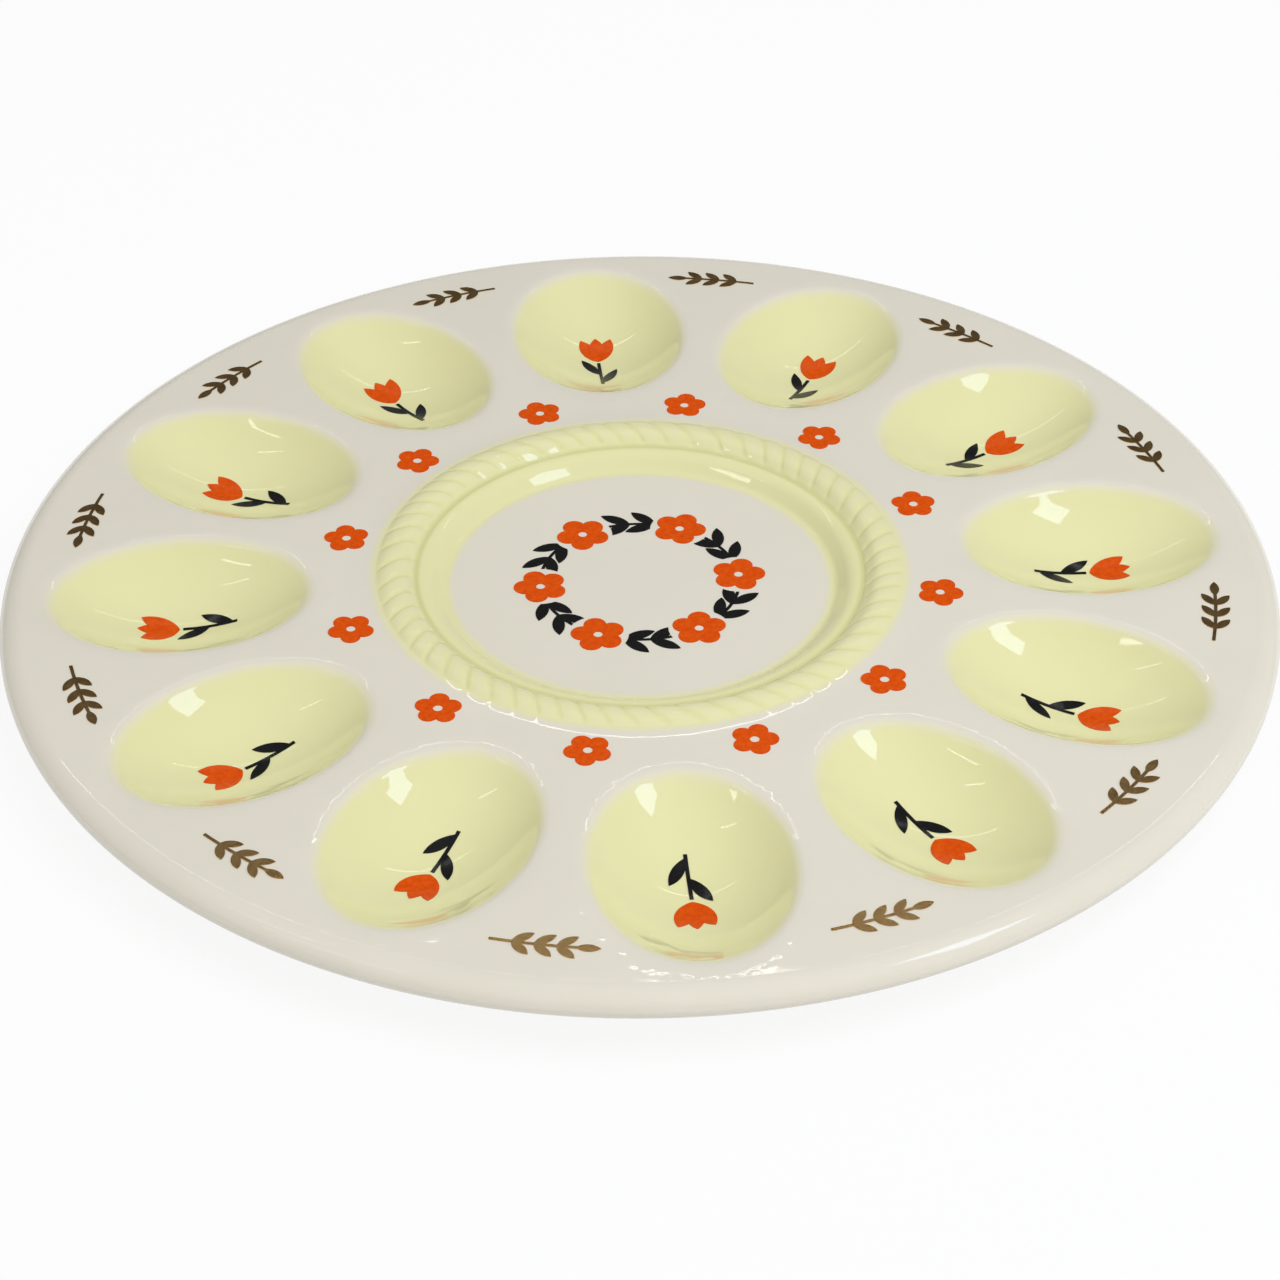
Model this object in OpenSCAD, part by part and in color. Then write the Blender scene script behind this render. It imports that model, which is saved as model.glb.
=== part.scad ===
// Round earthenware platter with a ring of oval egg cups, a rope border and a shallow centre well.
// Frame: origin on the table under the middle, +Z up, +X through the middle of the first cup.

/* [Platter] */
// Diameter over the rolled rim
plate_d = 305; // [296:1:380]
// Thickness of the fired clay
wall = 5; // [4:0.25:6]
// Height of the cups' undersides above the table
cup_clear = 2.3; // [1:0.1:6]
// Width of the band in which the rim rolls down
rim_roll_w = 5.5; // [5:0.5:9]
// How far the middle of the rim's edge hangs below the middle of the deck
rim_fall = 1.2; // [1:0.1:2]

/* [Egg cups] */
// Number of egg cups
cup_count = 12; // [6:1:12]
// Length of a cup along the platter's radius
cup_len = 62.4; // [50:0.2:76]
// Width of a cup
cup_w = 45.8; // [36:0.2:50]
// Depth of a cup below the deck
cup_depth = 10.7; // [8:0.1:14]
// Clay between a cup's outer end and the rim's edge
cup_margin = 11.3; // [10:0.1:20]
// Radius of the soft lip round a cup
lip_r = 7; // [2:0.5:8]

/* [Rope border] */
// Flat deck between the rope and the inner ends of the cups
rope_gap = 15; // [12:0.5:24]
// Radius of the rope's rounded section
rope_bead_r = 7; // [5:0.5:10]
// Height of the rope's crown above the deck
rope_rise = 1.4; // [0.8:0.1:2.5]
// Number of strands round the ring
strand_count = 60; // [48:1:60]
// Lean of a strand away from the radius, in degrees
strand_lean = 32; // [20:1:40]
// Depth of the valleys between strands
valley_depth = 0.8; // [0.6:0.1:1.4]
// Depth of the rope's seat below the deck
rope_seat_depth = 3.4; // [3:0.1:4.5]

/* [Centre well] */
// Depth of the well's floor below the deck
well_depth = 4.6; // [4:0.1:8]
// Depth of the groove along the rope's inner side, below the deck
groove_depth = 1.2; // [1:0.1:2]
// Width of the groove, from the rope to the shoulder's crest
groove_w = 1.2; // [0.5:0.1:2]
// Radius of the rounded shoulder between the groove and the floor
shoulder_r = 8; // [6:0.5:12]
// Radius of the glaze that fills the corner between the shoulder and the floor
corner_r = 2.4; // [1:0.1:4]

/* [Foot] */
// Distance of the foot ring outside the rope's crown
foot_out = 3; // [0:0.5:4]
// Width of the flat, unglazed face that stands on the table
foot_land_w = 2.4; // [1.5:0.1:4]
// Rounding on both sides of that face
foot_round_r = 1.2; // [0.6:0.1:2]
// Width of the foot ring where it grows out of the platter
foot_root_w = 8; // [7:0.5:10]

/* [Glaze and transfers] */
// Thickness of the tinted glaze in the cups and on the shoulder
glaze_t = 0.4; // [0.2:0.05:0.8]
// Thickness of a fired transfer
transfer_t = 0.15; // [0.1:0.05:0.3]
// Length of the tulip head in a cup
tulip_len = 10; // [6:0.5:12]
// Width of one tulip petal
petal_w = 4.4; // [3:0.2:6]
// Length of the tulip's stem
stem_len = 13; // [8:0.5:14]
// Width of the tulip's stem
stem_w = 0.9; // [0.6:0.1:1.5]
// Length of a leaf on the tulip's stem
stem_leaf_len = 9; // [5:0.5:10]
// Width of a leaf on the tulip's stem
stem_leaf_w = 2.8; // [1.5:0.1:4]
// Diameter of a blossom on the deck
blossom_d = 11; // [7:0.5:12]
// Diameter of the bare eye in a blossom, on the deck and in the wreath
eye_d = 2.2; // [1:0.1:3]
// Distance of the deck blossoms outside the rope
blossom_gap = 3; // [1:0.5:5]
// Distance of the gold sprigs' stems inside the rim's edge
gilt_inset = 15.5; // [13:0.5:18]
// Length of a gold sprig along the rim
gilt_len = 19; // [14:0.5:24]
// Width of a gold sprig's stem
gilt_stem_w = 0.8; // [0.5:0.1:1.2]
// Length of a leaf on a gold sprig
gilt_leaf_len = 5.4; // [4:0.2:7]
// Width of a leaf on a gold sprig
gilt_leaf_w = 2.2; // [1.4:0.1:3]
// Diameter of the wreath's circle
wreath_d = 48; // [36:1:56]
// Diameter of a blossom in the wreath
wreath_blossom_d = 13; // [8:0.5:15]
// Number of blossoms in the wreath
wreath_blossom_count = 6; // [3:1:6]
// Length of a leaf in the wreath
wreath_leaf_len = 8; // [5:0.5:10]
// Width of a leaf in the wreath
wreath_leaf_w = 3; // [2:0.1:4]
// Width of the wreath's twig
wreath_twig_w = 0.8; // [0.5:0.1:1.2]

/* [Hidden] */
$fn = 96;
// How far cuts run past the faces that they open
overrun = 1;
// How steeply the soft lip meets the deck, as the height that its circle would stand proud
lip_nip = 0.1;
// How far the circle of the corner's glaze dips below the floor, so that the glaze ends in an edge
corner_nip = 0.1;
// How much the strands' round tops are flattened by the rope's section
crown_nip = 0.08;
// Bare glaze left between a blossom and the leaves beside it
transfer_gap = 0.8;

plate_r = plate_d / 2;
deck_z = cup_clear + wall + cup_depth;
under_z = deck_z - wall;

// Rim: an arc that leaves the deck level and runs into a full-round edge
flat_r = plate_r - rim_roll_w;
edge_r = wall / 2;
edge_out = rim_roll_w - edge_r;
edge_drop = edge_r + rim_fall;
roll_r = (edge_out * edge_out + edge_drop * edge_drop - edge_r * edge_r) / (2 * rim_fall);
roll_angle = atan2(roll_r - edge_drop, edge_out);

// Egg cups: a bowl arc turned about the cup's middle and narrowed to the cup's width
cup_ring_r = plate_r - cup_margin - cup_len / 2;
cup_half_len = cup_len / 2;
cup_narrow_share = cup_w / cup_len;
bulge_narrow_share = (cup_w + 2 * wall) / (cup_len + 2 * wall);
bowl_r = (cup_half_len * cup_half_len + cup_depth * cup_depth) / (2 * cup_depth);
bowl_z = bowl_r - cup_depth;
lip_z = lip_nip - lip_r;
lip_x = sqrt(pow(bowl_r + lip_r, 2) - pow(bowl_z - lip_z, 2));
lip_edge_x = lip_x - sqrt(lip_r * lip_r - lip_z * lip_z);
lip_start_z = bowl_z - (bowl_z - lip_z) * bowl_r / (bowl_r + lip_r);

// Rope: the crown's circle, and where the rope's section meets the deck and the groove
rope_out_w = sqrt(pow(rope_bead_r, 2) - pow(rope_bead_r - rope_rise, 2));
rope_in_w = sqrt(pow(rope_bead_r, 2) - pow(rope_bead_r - rope_rise - groove_depth, 2));
rope_out_r = plate_r - cup_margin - cup_len - rope_gap;
rope_ring_r = rope_out_r - rope_out_w;
rope_in_r = rope_ring_r - rope_in_w;
strand_turn = 360 / strand_count;
strand_pitch = rope_ring_r * strand_turn * PI / 180 * cos(strand_lean);
strand_half = strand_pitch / 2;
// Radius of a strand's round top, from the chord between two valleys
strand_r = (strand_half * strand_half + pow(valley_depth + crown_nip, 2)) / (2 * (valley_depth + crown_nip));
crown_half = sqrt(strand_r * strand_r - pow(strand_r - crown_nip, 2));
// Radius of the rope's section along a leaning strand
valley_ring_r = rope_bead_r / pow(cos(strand_lean), 2);

// Well and foot
floor_z = deck_z - well_depth;
groove_z = deck_z - groove_depth;
crest_r = rope_in_r - groove_w;
shoulder_z = groove_z - shoulder_r;
corner_z = floor_z + corner_r - corner_nip;
corner_x = crest_r - sqrt(pow(shoulder_r + corner_r, 2) - pow(corner_z - shoulder_z, 2));
corner_share = shoulder_r / (shoulder_r + corner_r);
foot_ring_r = rope_ring_r + foot_out;
foot_tip_w = foot_land_w + 2 * foot_round_r;

// Transfers: angles along the rim and round the wreath
half_step = 180 / cup_count;
gilt_r = plate_r - gilt_inset;
gilt_turn = gilt_len / gilt_r * 180 / PI;
gilt_leaf_pairs = 3;
gilt_leaf_lean = 38;
deck_blossom_r = rope_out_r + blossom_gap + blossom_d / 2;
petal_count = 5;
petal_d_share = 0.42;
tulip_spread = 24;
tulip_base_share = 1 / 3;
leaf_spread = 30;
wreath_r = wreath_d / 2;
wreath_step = 360 / wreath_blossom_count;
wreath_leaf_pairs = 2;
wreath_leaf_lean = 32;

function numbered(stem, i) = str(stem, i < 9 ? "_0" : "_", i + 1);
CUPS = [for (i = [0:cup_count - 1]) i];

// Places its children in cup i, with the deck at zero height and +X along the platter's radius
module in_cup(i) {
    rotate(i * 2 * half_step)
        translate([cup_ring_r, 0, deck_z])
            children();
}

// Places its children on the deck, at the middle of the gap after cup i
module between_cups(i) {
    rotate((i * 2 + 1) * half_step)
        translate([0, 0, deck_z])
            children();
}

// Deck, shoulder block under the rope, and foot ring, as a section to turn about Z
module body_section() {
    translate([0, under_z])
        square([flat_r, wall]);
    translate([0, floor_z - wall])
        square([foot_ring_r, well_depth + wall]);
    rim_section();
    foot_section();
}

// Rolled rim: a band of the clay's thickness along the roll, closed by a full-round edge
module rim_section() {
    reach = roll_r + wall;
    translate([flat_r, deck_z - roll_r]) {
        intersection() {
            difference() {
                circle(roll_r);
                circle(roll_r - wall);
            }
            polygon([[0, 0], [0, reach], reach * [cos(roll_angle), sin(roll_angle)]]);
        }
        translate((roll_r - edge_r) * [cos(roll_angle), sin(roll_angle)])
            circle(edge_r);
    }
}

// Foot ring: a tapered ring with a flat land and rounded sides
module foot_section() {
    translate([foot_ring_r, 0]) {
        polygon([
            [-foot_tip_w / 2, foot_round_r],
            [foot_tip_w / 2, foot_round_r],
            [foot_root_w / 2, under_z],
            [-foot_root_w / 2, under_z]
        ]);
        translate([-foot_land_w / 2, 0])
            square([foot_land_w, foot_round_r]);
        for (side = [-1, 1])
            translate([side * foot_land_w / 2, foot_round_r])
                circle(foot_round_r);
    }
}

// Hollow of the well: open above the floor, with the shoulder left standing
module well_section(shoulder) {
    difference() {
        translate([0, floor_z])
            square([rope_in_r, well_depth + overrun]);
        translate([crest_r, shoulder_z])
            circle(shoulder);
    }
}

// Glaze in the corner between the shoulder and the floor
module corner_section() {
    difference() {
        polygon([
            [corner_x, floor_z],
            [crest_r, floor_z],
            [crest_r, shoulder_z] + corner_share * [corner_x - crest_r, corner_z - shoulder_z]
        ]);
        translate([corner_x, corner_z])
            circle(corner_r);
    }
}

// Section of a cup's lip: the arc that turns out on to the deck, and the space above the bowl
module lip_section() {
    difference() {
        translate([0, lip_start_z])
            square([lip_edge_x, overrun - lip_start_z]);
        translate([lip_x, lip_z])
            circle(lip_r);
    }
    translate([0, lip_start_z - overrun])
        square([lip_x - lip_r, 2 * overrun]);
}

// Round cap below a given height, whose surface lies the given distance outside the bowl's
module cap(out, top) {
    reach = bowl_r + out;
    intersection() {
        translate([0, 0, bowl_z])
            rotate([90, 0, 0])
                rotate_extrude()
                    intersection() {
                        circle(reach);
                        translate([0, -reach])
                            square([reach, 2 * reach]);
                    }
        translate([-reach, -reach, -reach])
            cube([2 * reach, 2 * reach, reach + top]);
    }
}

// Oval shell below a given height, between two surfaces that lie the given distances outside the bowl's
module bowl_shell(from, to, top) {
    scale([1, cup_narrow_share, 1])
        difference() {
            cap(to, top);
            cap(from, top + overrun);
        }
}

module platter_body() {
    color("linen")
        difference() {
            union() {
                rotate_extrude()
                    difference() {
                        body_section();
                        well_section(shoulder_r - glaze_t);
                        translate([rope_in_r, deck_z - rope_seat_depth])
                            square([rope_out_r - rope_in_r, rope_seat_depth + overrun]);
                    }
                for (i = CUPS)
                    in_cup(i)
                        scale([1, bulge_narrow_share, 1])
                            cap(wall, -wall / 2);
            }
            for (i = CUPS)
                in_cup(i)
                    scale([1, cup_narrow_share, 1]) {
                        cap(glaze_t, lip_start_z);
                        rotate_extrude()
                            lip_section();
                    }
        }
}

// Cut between two strands: the space above two round tops, carried over the rope's section
module strand_valley() {
    top_r = valley_ring_r + crown_nip - strand_r;
    cut_half = strand_half - crown_half;
    rotate([90, 0, 0])
        rotate_extrude()
            difference() {
                translate([top_r, -cut_half])
                    square([strand_r + overrun, 2 * cut_half]);
                for (side = [-1, 1])
                    translate([top_r, side * strand_half])
                        circle(strand_r);
            }
}

module rope_border() {
    color("lemonchiffon")
        difference() {
            rotate_extrude()
                intersection() {
                    translate([rope_ring_r, deck_z + rope_rise - rope_bead_r])
                        circle(rope_bead_r);
                    translate([rope_in_r, deck_z - rope_seat_depth])
                        square([rope_out_r - rope_in_r, rope_seat_depth + rope_rise + overrun]);
                }
            for (i = [0:strand_count - 1])
                rotate(i * strand_turn)
                    translate([rope_ring_r, 0, deck_z + rope_rise - valley_ring_r])
                        rotate(strand_lean)
                            strand_valley();
        }
}

module well_glaze() {
    color("lemonchiffon")
        rotate_extrude()
            difference() {
                well_section(shoulder_r - glaze_t);
                difference() {
                    well_section(shoulder_r);
                    corner_section();
                }
                translate([0, groove_z])
                    square([rope_in_r, groove_depth + 2 * overrun]);
            }
}

module cup_glaze(i) {
    color("lemonchiffon")
        in_cup(i)
            bowl_shell(0, glaze_t, lip_start_z);
}

// Pointed leaf along +X, from two arcs
module leaf(len, w) {
    arc_r = (len * len + w * w) / (4 * w);
    intersection() {
        translate([len / 2, arc_r - w / 2])
            circle(arc_r);
        translate([len / 2, w / 2 - arc_r])
            circle(arc_r);
    }
}

// Blossom of round petals about a bare eye
module blossom(d) {
    petal_d = d * petal_d_share;
    difference() {
        union() {
            circle(d / 2 - petal_d / 2);
            for (k = [0:petal_count - 1])
                rotate(k * 360 / petal_count)
                    translate([d / 2 - petal_d / 2, 0])
                        circle(petal_d / 2);
        }
        circle(eye_d / 2);
    }
}

// Lays a flat drawing on the bowl's surface, as a film of the transfer's thickness
module on_bowl() {
    intersection() {
        bowl_shell(-transfer_t, 0, -transfer_t);
        translate([0, 0, -cup_depth])
            linear_extrude(cup_depth)
                children();
    }
}

// Tulip head: three petals that spring from one round base
module cup_tulip(i) {
    color("chocolate")
        in_cup(i)
            on_bowl()
                translate([transfer_gap, 0]) {
                    translate([petal_w / 2, 0])
                        circle(petal_w * tulip_base_share);
                    for (side = [-1, 0, 1])
                        rotate(side * tulip_spread)
                            leaf(tulip_len, petal_w);
                }
}

// Stem of a tulip with one leaf on each side, the second lower than the first
module cup_stem() {
    translate([-stem_len, -stem_w / 2])
        square([stem_len, stem_w]);
    translate([-stem_len / 2, 0])
        rotate(leaf_spread)
            leaf(stem_leaf_len, stem_leaf_w);
    translate([-stem_len + stem_w, 0])
        rotate(-leaf_spread)
            leaf(stem_leaf_len, stem_leaf_w);
}

module cup_stems() {
    color("darkslategray")
        for (i = CUPS)
            in_cup(i)
                on_bowl()
                    cup_stem();
}

module deck_blossom(i) {
    color("chocolate")
        between_cups(i)
            translate([deck_blossom_r, 0, 0])
                linear_extrude(transfer_t)
                    blossom(blossom_d);
}

// Gold sprig that follows the rim, with leaves in pairs and one at its tip
module rim_gilt(i) {
    reach = gilt_r + wall;
    color("goldenrod")
        between_cups(i)
            linear_extrude(transfer_t) {
                intersection() {
                    difference() {
                        circle(gilt_r + gilt_stem_w / 2);
                        circle(gilt_r - gilt_stem_w / 2);
                    }
                    polygon([[0, 0], reach * [cos(gilt_turn / 2), -sin(gilt_turn / 2)],
                        reach * [cos(gilt_turn / 2), sin(gilt_turn / 2)]]);
                }
                for (k = [0:gilt_leaf_pairs - 1])
                    for (side = [-1, 1])
                        rotate(((k + 1) / (gilt_leaf_pairs + 1) - 1 / 2) * gilt_turn)
                            translate([gilt_r, 0])
                                rotate(90 + side * gilt_leaf_lean)
                                    leaf(gilt_leaf_len, gilt_leaf_w);
                rotate(gilt_turn / 2)
                    translate([gilt_r, 0])
                        rotate(90)
                            translate([-gilt_stem_w, 0])
                                leaf(gilt_leaf_len, gilt_leaf_w);
            }
}

// Places its children on each blossom's middle in the wreath
module at_wreath_blossoms() {
    for (k = [0:wreath_blossom_count - 1])
        rotate(k * wreath_step)
            translate([wreath_r, 0])
                children();
}

module wreath_blossoms() {
    color("chocolate")
        translate([0, 0, floor_z])
            linear_extrude(transfer_t)
                at_wreath_blossoms()
                    blossom(wreath_blossom_d);
}

// Twigs between the wreath's blossoms, with leaves in pairs
module wreath_leaves() {
    color("darkslategray")
        translate([0, 0, floor_z])
            linear_extrude(transfer_t)
                difference() {
                    union() {
                        difference() {
                            circle(wreath_r + wreath_twig_w / 2);
                            circle(wreath_r - wreath_twig_w / 2);
                        }
                        for (k = [0:wreath_blossom_count - 1], j = [0:wreath_leaf_pairs - 1], side = [-1, 1])
                            rotate((k + (j + 1) / (wreath_leaf_pairs + 2)) * wreath_step)
                                translate([wreath_r, 0])
                                    rotate(90 + side * wreath_leaf_lean)
                                        leaf(wreath_leaf_len, wreath_leaf_w);
                    }
                    at_wreath_blossoms()
                        circle(wreath_blossom_d / 2 + transfer_gap);
                }
}

platter_body();
rope_border();
well_glaze();
cup_stems();
wreath_blossoms();
wreath_leaves();
for (i = CUPS) {
    cup_glaze(i);
    cup_tulip(i);
    deck_blossom(i);
    rim_gilt(i);
}
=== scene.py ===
import math

import bmesh
import bpy
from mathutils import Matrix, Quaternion, Vector


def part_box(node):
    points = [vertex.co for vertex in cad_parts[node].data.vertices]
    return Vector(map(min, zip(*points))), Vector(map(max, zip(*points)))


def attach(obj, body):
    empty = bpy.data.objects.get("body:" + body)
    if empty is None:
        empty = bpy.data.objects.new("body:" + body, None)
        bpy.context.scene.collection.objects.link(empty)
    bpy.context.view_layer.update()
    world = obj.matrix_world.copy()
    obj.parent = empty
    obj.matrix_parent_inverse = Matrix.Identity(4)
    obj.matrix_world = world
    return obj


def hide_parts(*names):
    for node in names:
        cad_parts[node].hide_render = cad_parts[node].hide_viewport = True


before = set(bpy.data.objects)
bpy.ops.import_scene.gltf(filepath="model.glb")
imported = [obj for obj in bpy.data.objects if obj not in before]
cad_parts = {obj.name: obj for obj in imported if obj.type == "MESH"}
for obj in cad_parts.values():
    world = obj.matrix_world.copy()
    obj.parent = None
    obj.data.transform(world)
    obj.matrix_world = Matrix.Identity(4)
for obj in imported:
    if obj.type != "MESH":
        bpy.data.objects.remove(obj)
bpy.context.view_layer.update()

# Platter
# Slip-cast earthenware: a flat deck with a rolled rim, twelve oval egg cups, and a shallow well with a
# twisted rope round it, on a foot ring. It is cast in one, and clay and glaze are fired into one piece.
MM = 0.001
MERGE = 0.001 * MM
FLAT_LEDGE = 0.3 * MM
WALL = 5 * MM
CUP_COUNT = 12
CUPS = [f"{k + 1:02d}" for k in range(CUP_COUNT)]
body_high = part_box("platter_body")[1]
plate_r = body_high.x
deck_z = body_high.z
under_z = deck_z - WALL


def arc(centre, radius, start, end, steps):
    """Points of an arc in a section, as (distance from the axis, height), between two angles in degrees."""
    turns = [math.radians(start + (end - start) * k / steps) for k in range(steps + 1)]
    return [(centre[0] + radius * math.cos(a), centre[1] + radius * math.sin(a)) for a in turns]


def bearing(start, end):
    """Angle in degrees at which one point of a section sees another."""
    return math.degrees(math.atan2(end[1] - start[1], end[0] - start[0]))


def blend_middle(centre, radius, level, blend, side):
    """Middle of the arc that blends a round into a level face, below the face if blend is negative."""
    height = level + blend
    reach = math.sqrt((radius + abs(blend)) ** 2 - (height - centre[1]) ** 2)
    return centre[0] + side * reach, height


def turned(name, section, steps, middle=0):
    """A skin from a section that is drawn point by point and spun about an upright axis."""
    points = [Vector((middle + x, 0, z)) for x, z in section]
    bpy.ops.object.select_all(action="DESELECT")
    bpy.ops.mesh.primitive_plane_add(size=MM, location=points[0])
    bpy.context.object.name = name
    bpy.ops.object.mode_set(mode="EDIT")
    bpy.ops.mesh.merge(type="CENTER")
    for start, end in zip(points, points[1:]):
        bpy.ops.mesh.extrude_vertices_move(TRANSFORM_OT_translate={"value": end - start})
    bpy.ops.mesh.select_all(action="SELECT")
    bpy.ops.mesh.spin(steps=steps, angle=math.tau, center=(middle, 0, 0), axis=(0, 0, 1))
    bpy.ops.mesh.select_all(action="SELECT")
    bpy.ops.mesh.remove_doubles(threshold=MERGE)
    bpy.ops.object.mode_set(mode="OBJECT")
    bpy.ops.object.transform_apply()
    return bpy.context.object


def twelve_ovals(skin, middle, narrow):
    """Narrows a round skin to an oval across the platter's radius, and repeats it round the platter."""
    bpy.ops.object.mode_set(mode="EDIT")
    bpy.ops.mesh.select_all(action="SELECT")
    bpy.ops.transform.resize(value=(1, narrow, 1), center_override=(middle, 0, 0))
    bpy.ops.mesh.spin(steps=CUP_COUNT - 1, dupli=True, angle=math.tau * (1 - 1 / CUP_COUNT), center=(0, 0, 0),
                      axis=(0, 0, 1))
    bpy.ops.object.mode_set(mode="OBJECT")
    return skin


# Egg cups: a bowl, a round lip, and a slow sweep from the lip to the flat deck, narrowed to the width of half
# an egg, with a bulge of even wall below
CUP_LEN = 62.4 * MM
CUP_W = 45.8 * MM
CUP_DEPTH = 10.7 * MM
LIP_R = 7 * MM
LIP_SWEEP_R = 50 * MM
LIP_SWEEP_TILT = 3.5
BULGE_BLEND_R = 4 * MM
CUP_SPIN_STEPS = 96
BULGE_SPIN_STEPS = 48
cup_low, cup_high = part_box("cup_glaze_01")
cup_ring_r = (cup_low.x + cup_high.x) / 2
cup_narrow = CUP_W / CUP_LEN
bulge_narrow = (CUP_W + 2 * WALL) / (CUP_LEN + 2 * WALL)
bowl_r = (CUP_LEN**2 / 4 + CUP_DEPTH**2) / (2 * CUP_DEPTH)
bowl_middle = (0, deck_z - CUP_DEPTH + bowl_r)
lip_fall = (LIP_SWEEP_R - LIP_R) * (1 - math.cos(math.radians(LIP_SWEEP_TILT)))
lip_middle = blend_middle(bowl_middle, bowl_r, deck_z - lip_fall, -LIP_R, side=1)
lip_turn = bearing(bowl_middle, lip_middle)
sweep_x = lip_middle[0] + (LIP_SWEEP_R - LIP_R) * math.sin(math.radians(LIP_SWEEP_TILT))
cup_section = (
    arc(bowl_middle, bowl_r, -90, lip_turn, steps=12)
    + arc(lip_middle, LIP_R, lip_turn + 180, 90 + LIP_SWEEP_TILT, steps=6)[1:]
    + arc((sweep_x, deck_z - LIP_SWEEP_R), LIP_SWEEP_R, 90 + LIP_SWEEP_TILT, 90, steps=3)[1:]
    + [(sweep_x + FLAT_LEDGE, deck_z)]
)
cups = twelve_ovals(turned("cups", cup_section, CUP_SPIN_STEPS, cup_ring_r), cup_ring_r, cup_narrow)

bulge_r = bowl_r + WALL
bulge_middle = blend_middle(bowl_middle, bulge_r, under_z, -BULGE_BLEND_R, side=1)
bulge_turn = bearing(bowl_middle, bulge_middle)
bulge_section = (
    arc(bowl_middle, bulge_r, -90, bulge_turn, steps=8)
    + arc(bulge_middle, BULGE_BLEND_R, bulge_turn + 180, 90, steps=4)[1:]
    + [(bulge_middle[0] + FLAT_LEDGE, under_z)]
)
bulges = twelve_ovals(turned("bulges", bulge_section, BULGE_SPIN_STEPS, cup_ring_r), cup_ring_r, bulge_narrow)

# Rim: the deck rolls down into a full-round edge and comes back below
RIM_ROLL_W = 5.5 * MM
RIM_FALL = 1.2 * MM
RIM_SPIN_STEPS = 480
flat_r = plate_r - RIM_ROLL_W
edge_r = WALL / 2
edge_out = RIM_ROLL_W - edge_r
edge_drop = edge_r + RIM_FALL
roll_r = (edge_out**2 + edge_drop**2 - edge_r**2) / (2 * RIM_FALL)
roll_middle = (flat_r, deck_z - roll_r)
edge_middle = (flat_r + edge_out, deck_z - edge_drop)
roll_turn = bearing(roll_middle, edge_middle)
rim_section = (
    [(flat_r - FLAT_LEDGE, deck_z)]
    + arc(roll_middle, roll_r, 90, roll_turn, steps=7)
    + arc(edge_middle, edge_r, roll_turn, roll_turn - 180, steps=12)[1:]
    + arc(roll_middle, roll_r - WALL, roll_turn, 90, steps=4)[1:]
    + [(flat_r - FLAT_LEDGE, under_z)]
)
rim = turned("rim", rim_section, RIM_SPIN_STEPS)

# Rope and well: a slow sweep up from the deck, the rope's bead with a straight slope on its inner side, the
# groove beside it, the shoulder with its own straight slope, and the corner with the well's floor
BEAD_R = 7 * MM
ROPE_BLEND_R = 2 * MM
ROPE_SWEEP_R = 70 * MM
ROPE_SWEEP_TILT = 5.5
ROPE_CROWN_R = 4.5 * MM
ROPE_TILT = 41
GROOVE_W = 1.2 * MM
GROOVE_R = 0.7 * MM
SHOULDER_R = 5 * MM
SHOULDER_TILT = 43
CORNER_R = 2.4 * MM
STRAND_COUNT = 60
STEPS_PER_STRAND = 16
shoulder_low, shoulder_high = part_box("well_glaze")
rope_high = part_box("rope_border")[1]
floor_z = shoulder_low.z
bead_z = rope_high.z - BEAD_R
bead_middle = (rope_high.x - math.sqrt(BEAD_R**2 - (deck_z - bead_z) ** 2), bead_z)
shoulder_middle = (shoulder_high.x - GROOVE_W, shoulder_high.z - SHOULDER_R)


def touching_middle(first, first_r, second, second_r):
    """The higher of the two points at the given distances from two points of a section."""
    apart = math.dist(first, second)
    along = (apart**2 + first_r**2 - second_r**2) / (2 * apart)
    across = math.sqrt(first_r**2 - along**2)
    ux, uz = (second[0] - first[0]) / apart, (second[1] - first[1]) / apart
    both = [(first[0] + along * ux - side * across * uz, first[1] + along * uz + side * across * ux)
            for side in (-1, 1)]
    return max(both, key=lambda point: point[1])


sweep_rise = (ROPE_SWEEP_R - ROPE_BLEND_R) * (1 - math.cos(math.radians(ROPE_SWEEP_TILT)))
rope_blend = blend_middle(bead_middle, BEAD_R, deck_z + sweep_rise, ROPE_BLEND_R, side=1)
sweep_reach = (ROPE_SWEEP_R - ROPE_BLEND_R) * math.sin(math.radians(ROPE_SWEEP_TILT))
rope_sweep = (rope_blend[0] + sweep_reach, deck_z + ROPE_SWEEP_R)
groove_middle = touching_middle(bead_middle, BEAD_R + GROOVE_R, shoulder_middle, SHOULDER_R + GROOVE_R)
rope_out = (-math.sin(math.radians(ROPE_TILT)), math.cos(math.radians(ROPE_TILT)))
rope_end = (groove_middle[0] - GROOVE_R * rope_out[0], groove_middle[1] - GROOVE_R * rope_out[1])
crown_z = rope_high.z - ROPE_CROWN_R
crown_x = rope_end[0] + (rope_out[1] * (rope_end[1] - crown_z) - ROPE_CROWN_R) / rope_out[0]
rope_crown = arc((crown_x, crown_z), ROPE_CROWN_R, 90, 90 + ROPE_TILT, steps=6)
rope_slope = [tuple(Vector(rope_crown[-1]).lerp(Vector(rope_end), share)) for share in (1 / 3, 2 / 3)]
slope_run = SHOULDER_R + CORNER_R
slope_turn = math.radians(SHOULDER_TILT)
slope_fall = shoulder_middle[1] - floor_z - CORNER_R + slope_run * math.cos(slope_turn)
slope_reach = slope_run * math.sin(slope_turn) + slope_fall / math.tan(slope_turn)
corner_middle = (shoulder_middle[0] - slope_reach, floor_z + CORNER_R)
groove_turn = bearing(groove_middle, shoulder_middle)
crest_turn = bearing(shoulder_middle, groove_middle)
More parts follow.
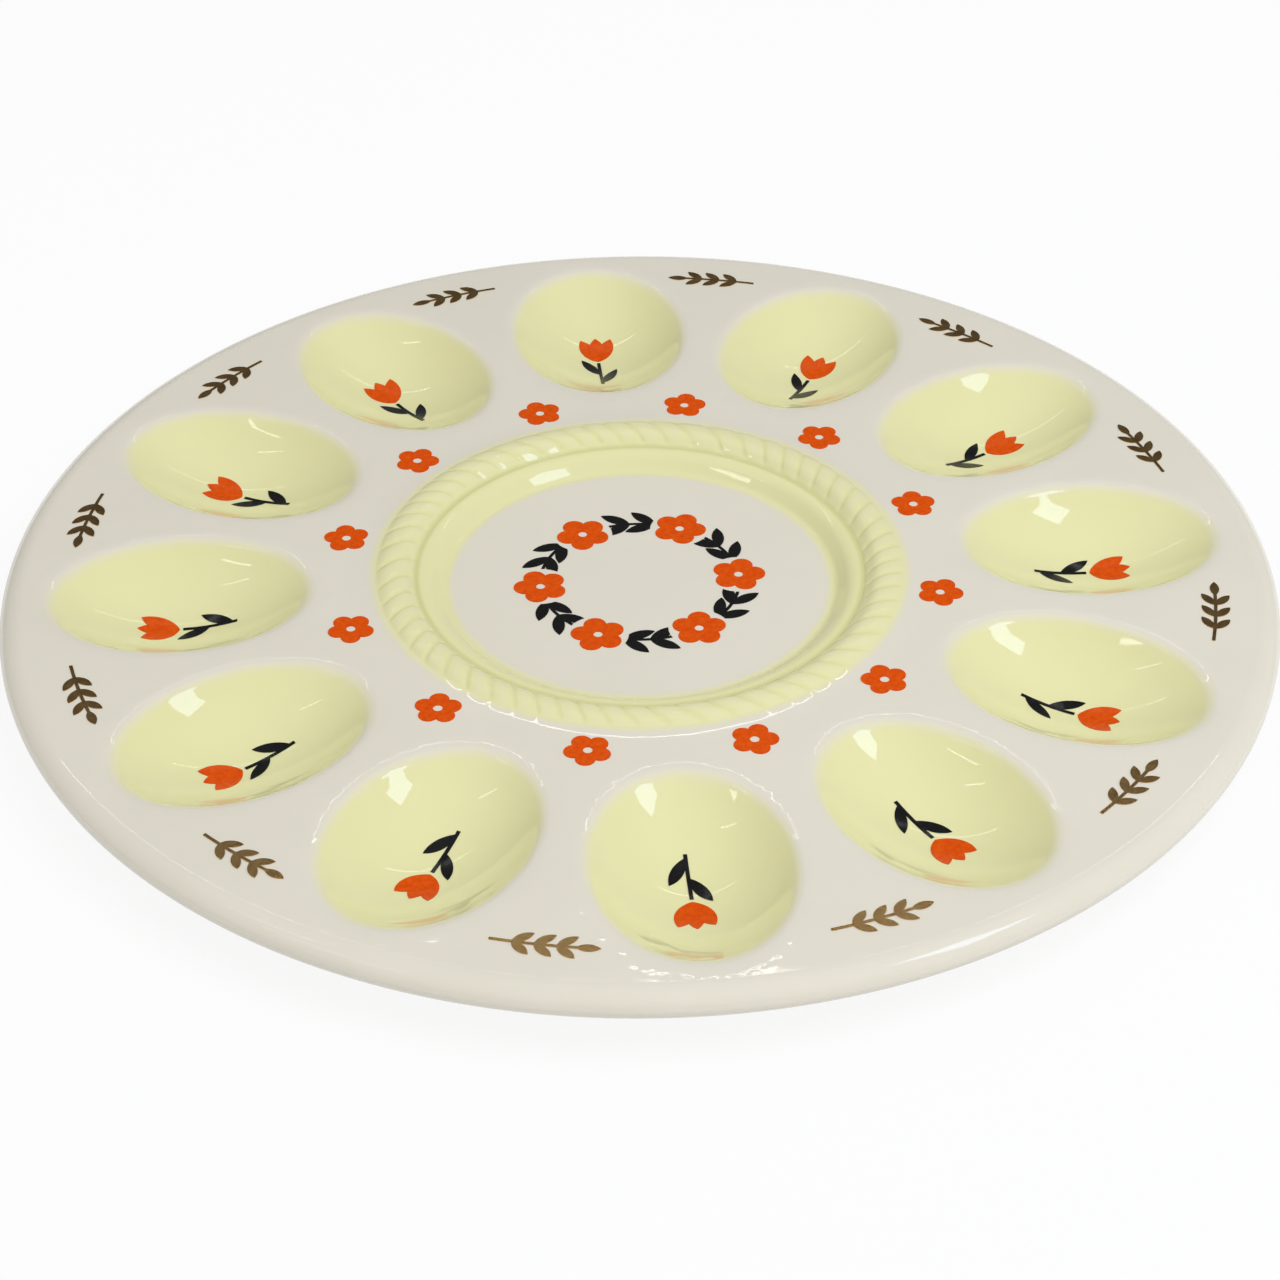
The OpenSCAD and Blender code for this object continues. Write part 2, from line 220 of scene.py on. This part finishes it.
well_section = (
    [(rope_sweep[0] + FLAT_LEDGE, deck_z)]
    + arc(rope_sweep, ROPE_SWEEP_R, -90, -90 - ROPE_SWEEP_TILT, steps=3)
    + arc(rope_blend, ROPE_BLEND_R, -90 - ROPE_SWEEP_TILT, bearing(rope_blend, bead_middle), steps=4)[1:]
    + arc(bead_middle, BEAD_R, bearing(bead_middle, rope_blend), 90, steps=7)[1:]
    + rope_crown
    + rope_slope
    + arc(groove_middle, GROOVE_R, ROPE_TILT - 90, groove_turn, steps=3)
    + arc(shoulder_middle, SHOULDER_R, crest_turn, 90 + SHOULDER_TILT, steps=9)[1:]
    + arc(corner_middle, CORNER_R, SHOULDER_TILT - 90, -90, steps=4)
    + [(corner_middle[0] - FLAT_LEDGE, floor_z)]
)
well = turned("well", well_section, STRAND_COUNT * STEPS_PER_STRAND)

# The rope's strands: rounded, with narrow shallow valleys between them, a little uneven as cut by hand
STRAND_LEAN = math.radians(32)
STRAND_UNEVEN = 0.2
SLOW_WAVES = 3
QUICK_WAVES = 7
QUICK_START = 1
VALLEY_DEPTH = 0.13 * MM
VALLEY_HALF_W = 0.17
DEPTH_UNEVEN = 0.3
DEPTH_STEP = 2.4
CROWN_RISE = 0.17 * MM
INNER_FADE_W = 1.6 * MM
OUTER_FADE_W = 2 * MM


def eased(value, low, high):
    """Zero at low, one at high, with a soft start and end."""
    share = min(max((value - low) / (high - low), 0), 1)
    return share * share * (3 - 2 * share)


def strands_passed(turn, reach, sine):
    """How many strands lie between the rope's start and a point of it; whole numbers are valleys."""
    lean = (reach - bead_middle[0]) * (math.tan(STRAND_LEAN) / bead_middle[0])
    uneven = sine(turn * SLOW_WAVES) + sine(turn * QUICK_WAVES + QUICK_START)
    return (turn - lean) * (STRAND_COUNT / math.tau) + uneven * STRAND_UNEVEN


for vertex in well.data.vertices:
    vertex_r = math.hypot(vertex.co.x, vertex.co.y)
    fade = (eased(vertex_r, groove_middle[0], groove_middle[0] + INNER_FADE_W)
            * eased(vertex_r, rope_blend[0], rope_blend[0] - OUTER_FADE_W))
    if fade > 0:
        passed = strands_passed(math.atan2(vertex.co.y, vertex.co.x), vertex_r, math.sin)
        off_valley = abs(passed - round(passed))
        depth = VALLEY_DEPTH * (1 + DEPTH_UNEVEN * math.sin(round(passed) * DEPTH_STEP))
        cut = depth * (1 - eased(off_valley, 0, VALLEY_HALF_W)) + CROWN_RISE * (1 - 2 * off_valley) ** 2
        out = Vector((vertex_r - bead_middle[0], vertex.co.z - bead_middle[1])).normalized() * cut * fade
        share = (vertex_r - out.x) / vertex_r
        vertex.co = (vertex.co.x * share, vertex.co.y * share, vertex.co.z - out.y)

# Foot ring: tapered, with a flat land that stands on the table, and the well's underside within it
FOOT_OUT = 3 * MM
FOOT_LAND_W = 2.4 * MM
FOOT_ROUND_R = 1.2 * MM
FOOT_ROOT_W = 8 * MM
FOOT_BLEND_R = 2.5 * MM
FOOT_SPIN_STEPS = 240
foot_r = bead_middle[0] + FOOT_OUT
well_under_z = floor_z - WALL
foot_lean = math.degrees(math.atan2(FOOT_ROOT_W / 2 - FOOT_LAND_W / 2 - FOOT_ROUND_R, under_z - FOOT_ROUND_R))


def foot_side(side, level):
    """One side of the foot ring, from the level face that it grows out of down to its land."""
    wall_x = FOOT_LAND_W / 2 + FOOT_ROUND_R + (level - FOOT_ROUND_R) * math.tan(math.radians(foot_lean))
    root = (wall_x + FOOT_BLEND_R, level - FOOT_BLEND_R)
    outline = (
        [(root[0] + FLAT_LEDGE, level)]
        + arc(root, FOOT_BLEND_R, 90, 180 - foot_lean, steps=4)
        + arc((FOOT_LAND_W / 2, FOOT_ROUND_R), FOOT_ROUND_R, -foot_lean, -90, steps=4)
    )
    return [(foot_r + side * x, z) for x, z in outline]


foot = turned("foot", foot_side(1, under_z) + foot_side(-1, well_under_z)[::-1], FOOT_SPIN_STEPS)

# The skins are joined and the level faces between them are filled
bpy.ops.object.select_all(action="DESELECT")
for skin in (cups, bulges, rim, well, foot):
    skin.select_set(True)
bpy.context.view_layer.objects.active = cups
bpy.ops.object.join()
platter = bpy.context.object
platter.name = "platter"
bpy.ops.object.mode_set(mode="EDIT")
bpy.ops.mesh.select_mode(type="EDGE")
for face_z in (deck_z, under_z, floor_z, well_under_z):
    bpy.ops.mesh.select_all(action="DESELECT")
    for edge in bmesh.from_edit_mesh(platter.data).edges:
        edge.select_set(edge.is_boundary and all(abs(v.co.z - face_z) < MERGE for v in edge.verts))
    bpy.ops.mesh.fill(use_beauty=True)
bpy.ops.mesh.select_all(action="SELECT")
bpy.ops.mesh.remove_doubles(threshold=MERGE)
bpy.ops.mesh.normals_make_consistent(inside=False)
bpy.ops.object.mode_set(mode="OBJECT")
bpy.ops.object.shade_smooth()


class Wire:
    """A socket of a material, on which sums are written as Python expressions."""

    def __init__(self, tree, socket=None):
        self.tree = tree
        self.socket = socket

    def node(self, kind, settings, inputs, output=0):
        """Adds a node, sets it up, and returns one of its outputs."""
        made = self.tree.nodes.new(kind)
        for name, value in settings.items():
            setattr(made, name, value)
        for name, value in inputs.items():
            if isinstance(value, Wire):
                self.tree.links.new(value.socket, made.inputs[name])
            else:
                made.inputs[name].default_value = value
        return Wire(self.tree, made.outputs[output])

    def math(self, operation, *others):
        """A Math node whose first value is this one."""
        return self.node("ShaderNodeMath", {"operation": operation}, dict(enumerate((self, *others))))

    def __add__(self, other):
        return self.math("ADD", other)

    __radd__ = __add__

    def __sub__(self, other):
        return self.math("SUBTRACT", other)

    def __rsub__(self, other):
        return self.math("MULTIPLY_ADD", -1, other)

    def __mul__(self, other):
        return self.math("MULTIPLY", other)

    __rmul__ = __mul__

    def __truediv__(self, other):
        return self.math("DIVIDE", other)

    def __pow__(self, other):
        return self.math("POWER", other)

    def eased(self, low, high):
        """Zero at low, one at high, with a soft start and end."""
        return self.node("ShaderNodeMapRange", {"interpolation_type": "SMOOTHSTEP"},
                         {"Value": self, "From Min": low, "From Max": high})

    def mix(self, first, second):
        """A colour between two others, by this share."""
        return self.node("ShaderNodeMix", {"data_type": "RGBA"}, {0: self, 6: first, 7: second}, 2)

    def noise(self, size, detail=2.0, roughness=0.5):
        """Soft noise over this place, with lumps of the given size."""
        return self.node("ShaderNodeTexNoise", {}, {"Vector": self, "Scale": 1 / size, "Detail": detail,
                                                    "Roughness": roughness})

    def outputs(self, *names):
        """Outputs of the node that this one comes from, by name."""
        return [Wire(self.tree, self.socket.node.outputs[name]) for name in names]

    def parts(self):
        """The three numbers of a vector."""
        return self.node("ShaderNodeSeparateXYZ", {}, {0: self}).outputs("X", "Y", "Z")


def new_finish(name, **fixed):
    """A material with its shader's fixed values set, and the place on the surface for its varying values."""
    finish = bpy.data.materials.new(name)
    finish.use_nodes = True
    shader = finish.node_tree.nodes["Principled BSDF"]
    for socket, value in fixed.items():
        shader.inputs[socket].default_value = value
    return finish, shader, Wire(finish.node_tree).node("ShaderNodeTexCoord", {}, {}, "Object")


def feed(shader, **values):
    """Links varying values to a shader's sockets."""
    for socket, wire in values.items():
        wire.tree.links.new(wire.socket, shader.inputs[socket.replace("_", " ")])


# Glaze: warm white, with pale yellow-green airbrushed into the cups and over the rope, thicker in grooves and
# valleys, and left off the foot's land, where the clay is bare
WHITE_GLAZE = (0.80, 0.755, 0.643, 1)
CLOUDED_GLAZE = (0.785, 0.74, 0.628, 1)
TINTED_GLAZE = (0.825, 0.80, 0.441, 1)
PALE_TINT = (0.825, 0.80, 0.495, 1)
POOLED_GLAZE = (0.68, 0.66, 0.30, 1)
BARE_CLAY = (0.62, 0.50, 0.37, 1)
SPRAY_GRAIN = 5 * MM
SPRAY_SPREAD = 0.04
SPRAY_DRIFT = 20 * MM
CUP_TINT_EDGE = (0.91, 1.05)
INNER_TINT_EDGE = (44.6 * MM, 46.8 * MM)
OUTER_TINT_EDGE = (62.8 * MM, 65.8 * MM)
ROPE_INNER_EDGE = (54.5 * MM, 56 * MM)
ROPE_OUTER_EDGE = (62 * MM, 64 * MM)
TOP_SIDE_EDGE = (-0.05, 0.05)
VALLEY_POOL_W = 0.25
VALLEY_POOL = 0.22
GROOVE_POOL_W = 1.3 * MM
GROOVE_POOL = 0.8
CROWN_EDGE = (0.3, 0.5)
CLOUD_SIZE = 30 * MM
CLOUD_EDGE = (0.3, 0.7)
BARE_EDGE = (0.2 * MM, 0.5 * MM)
GLAZE_ROUGH = 0.02
CLOUD_ROUGH = 0.02
BARE_ROUGH = 0.6
FINE_RIPPLE = 5 * MM
FINE_RIPPLE_SHARE = 0.25
BROAD_RIPPLE = 14 * MM
LIP_INNER_EDGE = (0.98, 1.06)
LIP_OUTER_EDGE = (1.14, 1.28)
LIP_RIPPLE = 3.5 * MM
LIP_RIPPLE_SHARE = 2
RIPPLE_DETAIL = 1.0
RIPPLE_RISE = 0.035 * MM
glaze, glaze_shader, place = new_finish("glaze", IOR=1.52)
x, y, z = place.parts()
reach = (x * x + y * y) ** 0.5
turn = y.math("ARCTAN2", x)
fold = turn.math("PINGPONG", math.pi / CUP_COUNT)
along = reach * fold.math("COSINE") - cup_ring_r
across = reach * fold.math("SINE") / cup_narrow
spray = (place.noise(SPRAY_GRAIN) - 0.5) * SPRAY_SPREAD
from_cup = (along * along + across * across) ** 0.5 / (CUP_LEN / 2) + spray
cup_tint = 1 - from_cup.eased(*CUP_TINT_EDGE)
from_axis = reach + spray * SPRAY_DRIFT
rope_tint = from_axis.eased(*INNER_TINT_EDGE) * (1 - from_axis.eased(*OUTER_TINT_EDGE))
facing_up = place.outputs("Normal")[0].parts()[2].eased(*TOP_SIDE_EDGE)
tint = cup_tint.math("MAXIMUM", rope_tint) * facing_up
on_rope = reach.eased(*ROPE_INNER_EDGE) * (1 - reach.eased(*ROPE_OUTER_EDGE))
from_valley = strands_passed(turn, reach, lambda angle: angle.math("SINE")).math("PINGPONG", 0.5)
in_valley = (1 - from_valley.eased(0, VALLEY_POOL_W)) * on_rope
in_groove = 1 - (reach - groove_middle[0]).math("ABSOLUTE").eased(0, GROOVE_POOL_W)
pooled = tint * (in_valley * VALLEY_POOL).math("MAXIMUM", in_groove * GROOVE_POOL)
cloud = place.noise(CLOUD_SIZE, detail=3.0)
white = cloud.eased(*CLOUD_EDGE).mix(CLOUDED_GLAZE, WHITE_GLAZE)
tinted = (from_valley.eased(*CROWN_EDGE) * on_rope).mix(TINTED_GLAZE, PALE_TINT)
bare = 1 - z.eased(*BARE_EDGE)
glaze_colour = bare.mix(pooled.mix(tint.mix(white, tinted), POOLED_GLAZE), BARE_CLAY)
glaze_rough = GLAZE_ROUGH + cloud * CLOUD_ROUGH + bare * BARE_ROUGH
at_lip = from_cup.eased(*LIP_INNER_EDGE) * (1 - from_cup.eased(*LIP_OUTER_EDGE))
lip_ripple = at_lip * (place.noise(LIP_RIPPLE, RIPPLE_DETAIL) - 0.5) * LIP_RIPPLE_SHARE
fine_ripple = place.noise(FINE_RIPPLE, RIPPLE_DETAIL) * FINE_RIPPLE_SHARE
ripple = fine_ripple + place.noise(BROAD_RIPPLE, RIPPLE_DETAIL) + lip_ripple
wave = ripple.node("ShaderNodeBump", {}, {"Strength": 1.0, "Distance": RIPPLE_RISE, "Height": ripple})
feed(glaze_shader, Base_Color=glaze_colour, Roughness=glaze_rough, Normal=wave)
platter.data.materials.clear()
platter.data.materials.append(glaze)
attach(platter, "root")
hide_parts("platter_body", "rope_border", "well_glaze", *[f"cup_glaze_{n}" for n in CUPS])

# Orange transfers: tulip heads in the cups, blossoms on the deck and in the well's wreath
# Printed in ceramic ink on paper, slid on to the glaze and fired, so they lie flat with a little texture.
DEEP_ORANGE = (0.68, 0.066, 0.001, 1)
BRIGHT_ORANGE = (0.80, 0.105, 0.002, 1)
ORANGE_GRAIN = 1.2 * MM
ORANGE_EDGE = (0.3, 0.75)
ORANGE_ROUGH = 0.1
ORANGE_ROUGH_SPREAD = 0.15


def wear(finish, *nodes):
    """Gives CAD nodes a finish."""
    for node in nodes:
        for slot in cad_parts[node].material_slots:
            slot.material = finish


orange, orange_shader, place = new_finish("orange_enamel", IOR=1.3)
grain = place.noise(ORANGE_GRAIN, detail=4.0, roughness=0.7)
orange_colour = grain.eased(*ORANGE_EDGE).mix(DEEP_ORANGE, BRIGHT_ORANGE)
feed(orange_shader, Base_Color=orange_colour, Roughness=ORANGE_ROUGH + grain * ORANGE_ROUGH_SPREAD)
wear(orange, "wreath_blossoms", *[f"cup_tulip_{n}" for n in CUPS], *[f"deck_blossom_{n}" for n in CUPS])

# Charcoal transfers: the tulips' stems and leaves, and the wreath's twigs
# The same kind of print in a near-black ink.
DEEP_CHARCOAL = (0.004, 0.004, 0.005, 1)
WARM_CHARCOAL = (0.012, 0.011, 0.011, 1)
CHARCOAL_GRAIN = 0.9 * MM
CHARCOAL_EDGE = (0.25, 0.8)
CHARCOAL_ROUGH = 0.08
CHARCOAL_ROUGH_SPREAD = 0.12
charcoal, charcoal_shader, place = new_finish("charcoal_enamel", IOR=1.52)
grain = place.noise(CHARCOAL_GRAIN, detail=4.0, roughness=0.7)
charcoal_colour = grain.eased(*CHARCOAL_EDGE).mix(DEEP_CHARCOAL, WARM_CHARCOAL)
feed(charcoal_shader, Base_Color=charcoal_colour, Roughness=CHARCOAL_ROUGH + grain * CHARCOAL_ROUGH_SPREAD)
wear(charcoal, "cup_stems", "wreath_leaves")

# Gold sprigs
# Liquid gold painted on the fired glaze between the cups and burnished: thin, dark where it mirrors the room.
DULL_GOLD = (0.62, 0.37, 0.14, 1)
BRIGHT_GOLD = (0.78, 0.52, 0.22, 1)
BRUSH_MARK = 3 * MM
BRUSH_EDGE = (0.3, 0.75)
GOLD_ROUGH = 0.13
GOLD_ROUGH_SPREAD = 0.12
gold, gold_shader, place = new_finish("gold_lustre", Metallic=1.0)
brush = place.noise(BRUSH_MARK, detail=3.0, roughness=0.6)
gold_colour = brush.eased(*BRUSH_EDGE).mix(DULL_GOLD, BRIGHT_GOLD)
feed(gold_shader, Base_Color=gold_colour, Roughness=GOLD_ROUGH + brush * GOLD_ROUGH_SPREAD)
wear(gold, *[f"rim_gilt_{n}" for n in CUPS])

# Floor
# A plain white table that keeps a faint shadow; the camera and mirror-like faces see it as white.
FLOOR_W = 12
FLOOR_GLOW = 0.9
FLOOR_GREY = (0.86, 0.86, 0.86, 1)
PURE_WHITE = (1, 1, 1, 1)
bpy.ops.object.select_all(action="DESELECT")
bpy.ops.mesh.primitive_plane_add(size=FLOOR_W, location=(0, 0, 0))
floor = bpy.context.object
floor.name = "floor"
table = bpy.data.materials.new("table")
table.use_nodes = True
table.node_tree.nodes.remove(table.node_tree.nodes["Principled BSDF"])
camera_ray, glossy_ray, clear_ray = Wire(table.node_tree).node("ShaderNodeLightPath", {}, {}).outputs(
    "Is Camera Ray", "Is Glossy Ray", "Is Transmission Ray")
paper = camera_ray.node("ShaderNodeBsdfDiffuse", {}, {"Color": FLOOR_GREY})
glow = camera_ray.node("ShaderNodeEmission", {}, {"Color": PURE_WHITE, "Strength": 1.0})
seen = camera_ray.math("MAXIMUM", glossy_ray.math("MAXIMUM", clear_ray))
lit = seen.node("ShaderNodeMixShader", {}, {0: seen * FLOOR_GLOW, 1: paper, 2: glow})
table.node_tree.links.new(lit.socket, table.node_tree.nodes["Material Output"].inputs["Surface"])
floor.data.materials.append(table)

# Studio light
# A white tent, mostly dark in mirror-like faces, a near softbox on the right with a wide fill behind it that
# leaves no mark in the glaze, two thin strips on the left, and a far slit that draws fine lines on the deck.
DOME = 0.58
DOME_BASE = 0.25
DOME_SIDES = 0.5
DOME_NEAR = 0.25
DOME_TOP = 0.8
MIRROR_BASE = 0.08
MIRROR_LOW = 0.05
MIRROR_BACKDROP = 0.25
MIRROR_TOP = 0.16
BACKDROP_START = (-0.5, -0.17)
BACKDROP_END = (1.48, 1.85)
LOW_EDGE = (0.26, 0.5)
TOP_EDGE = (0.75, 0.92)
world = bpy.data.worlds.new("studio")
bpy.context.scene.world = world
world.use_nodes = True
east, north, height = Wire(world.node_tree).node("ShaderNodeTexCoord", {}, {}, "Generated").parts()
heading = north.math("ARCTAN2", east)
backdrop = heading.eased(*BACKDROP_START) * (1 - heading.eased(*BACKDROP_END))
low = 1 - height.eased(*LOW_EDGE)
low_mirrored = low * (MIRROR_LOW + backdrop * MIRROR_BACKDROP)
mirrored = MIRROR_BASE + low_mirrored + height.eased(*TOP_EDGE) * MIRROR_TOP
camera_ray, glossy_ray = height.node("ShaderNodeLightPath", {}, {}).outputs("Is Camera Ray", "Is Glossy Ray")
sides = DOME_BASE + east.math("ABSOLUTE") * DOME_SIDES - north * DOME_NEAR
overhead = (sides + height.math("MAXIMUM", 0) * DOME_TOP) * DOME
tent = camera_ray + glossy_ray * mirrored + (1 - camera_ray - glossy_ray) * overhead
background = world.node_tree.nodes["Background"]
background.inputs["Color"].default_value = PURE_WHITE
world.node_tree.links.new(tent.socket, background.inputs["Strength"])


def softbox(name, azimuth, elevation, distance, size, radiance, colour=(1, 1, 1), lean=0):
    """An area light that faces the platter's middle, from a bearing and a height in degrees."""
    az, el = math.radians(azimuth), math.radians(elevation)
    way = Vector((math.cos(az) * math.cos(el), math.sin(az) * math.cos(el), math.sin(el)))
    facing = way.to_track_quat("Z", "Y") @ Quaternion((0, 0, 1), math.radians(lean))
    bpy.ops.object.light_add(type="AREA", location=way * distance, rotation=facing.to_euler())
    lamp = bpy.context.object
    lamp.name = name
    lamp.data.shape = "RECTANGLE"
    lamp.data.size, lamp.data.size_y = size
    lamp.data.energy = radiance * math.pi * size[0] * size[1]
    lamp.data.color = colour
    return lamp


DAYLIGHT = (0.55, 0.72, 1.0)
softbox("window", azimuth=-24, elevation=57, distance=0.75, size=(0.16, 0.16), radiance=5.5, colour=DAYLIGHT)
fill = softbox("fill", azimuth=-52, elevation=60, distance=1.4, size=(0.8, 0.8), radiance=3.8)
fill.visible_glossy = False
softbox("strip", azimuth=167, elevation=59, distance=1.2, size=(0.014, 0.25), radiance=6)
softbox("edge", azimuth=-164, elevation=56.6, distance=1.35, size=(0.025, 0.42), radiance=5, lean=-63)
softbox("slit", azimuth=88, elevation=45.8, distance=2.5, size=(2.2, 0.02), radiance=6.5)

# Camera
# At the photograph's angle, with a long lens.
CAMERA_PLACE = Vector((-61.4, -617.7, 456.8)) * MM
CAMERA_AIM = Vector((-3.0, -30.1, 18.0)) * MM
CAMERA_ROLL = -0.0041
LENS = 88.89
SENSOR_W = 36
NEAREST = 0.01
bpy.ops.object.camera_add(location=CAMERA_PLACE)
camera = bpy.context.object
camera.data.lens = LENS
camera.data.sensor_width = SENSOR_W
camera.data.clip_start = NEAREST
aimed = (CAMERA_AIM - CAMERA_PLACE).to_track_quat("-Z", "Y")
camera.rotation_mode = "QUATERNION"
camera.rotation_quaternion = aimed @ Quaternion((0, 0, 1), CAMERA_ROLL)
bpy.context.scene.camera = camera
bpy.context.scene.view_settings.view_transform = "Standard"
